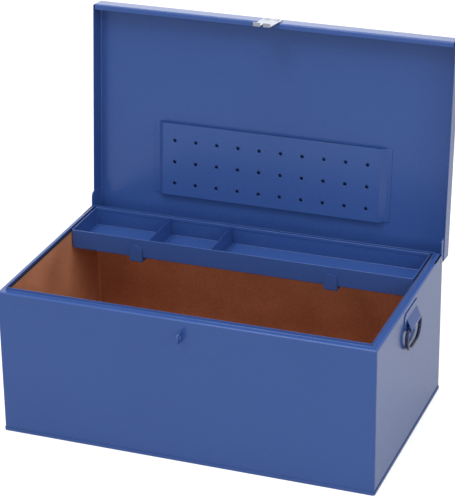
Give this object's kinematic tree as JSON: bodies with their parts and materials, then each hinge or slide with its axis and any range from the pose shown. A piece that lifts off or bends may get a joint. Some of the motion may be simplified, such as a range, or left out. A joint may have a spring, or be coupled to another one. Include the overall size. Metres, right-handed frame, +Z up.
{
  "type": "tool chest",
  "caption": "Sheet-steel tool chest with a hinged lid, perforated tool panel, lift-out tray on hooks, hardboard lining, padlock hasp and end handles.",
  "frame": {"origin": "middle of the underside of the bottom pan, which the chest stands on", "axes": "+X along the length, to the right as seen from the front; +Y to the rear, where the lid hinges; +Z up"},
  "size_m": [0.6796, 0.4829, 0.6423],
  "materials": {
    "blue_paint": "fine-textured satin powder coat",
    "hardboard": "matt brown hardboard",
    "zinc": "bright zinc plate",
    "navy_enamel": "dark navy gloss enamel on steel rod"
  },
  "bodies": {
    "chassis": {"front_panel": "blue_paint", "rear_panel": "blue_paint", "left_side_panel": "blue_paint", "right_side_panel": "blue_paint", "bottom_pan": "blue_paint", "floor_lining": "hardboard", "front_lining": "hardboard", "rear_lining": "hardboard", "left_lining": "hardboard", "right_lining": "hardboard", "left_tray_hook": "blue_paint", "right_tray_hook": "blue_paint", "padlock_staple": "blue_paint", "left_handle_plate": "blue_paint", "right_handle_plate": "blue_paint", "hinge_rivets": "zinc"},
    "lid": {"lid_pan": "blue_paint", "left_hinge_ear": "blue_paint", "right_hinge_ear": "blue_paint", "tool_panel": "blue_paint", "hasp_plate": "zinc", "hasp_rivets": "zinc"},
    "tray": {"tray_pan": "blue_paint", "left_tray_divider": "blue_paint", "right_tray_divider": "blue_paint"},
    "left_bow": {"left_handle_bow": "navy_enamel"},
    "right_bow": {"right_handle_bow": "navy_enamel"}
  },
  "joints": [
    {"name": "lid_hinge", "type": "hinge", "parent": "chassis", "child": "lid", "pos_m": [0, 0.1895, 0.249], "axis": [1, 0, 0], "range_deg": [0, 95]},
    {"name": "tray_lift", "type": "slide", "parent": "chassis", "child": "tray", "axis": [0, 0, 1], "range_m": [0, 0.15]},
    {"name": "right_bow_hinge", "type": "hinge", "parent": "chassis", "child": "right_bow", "pos_m": [0.335, 0, 0.221], "axis": [0, -1, 0], "range_deg": [0, 100]},
    {"name": "left_bow_hinge", "type": "hinge", "parent": "chassis", "child": "left_bow", "pos_m": [-0.335, 0, 0.221], "axis": [0, 1, 0], "range_deg": [0, 100]}
  ]
}
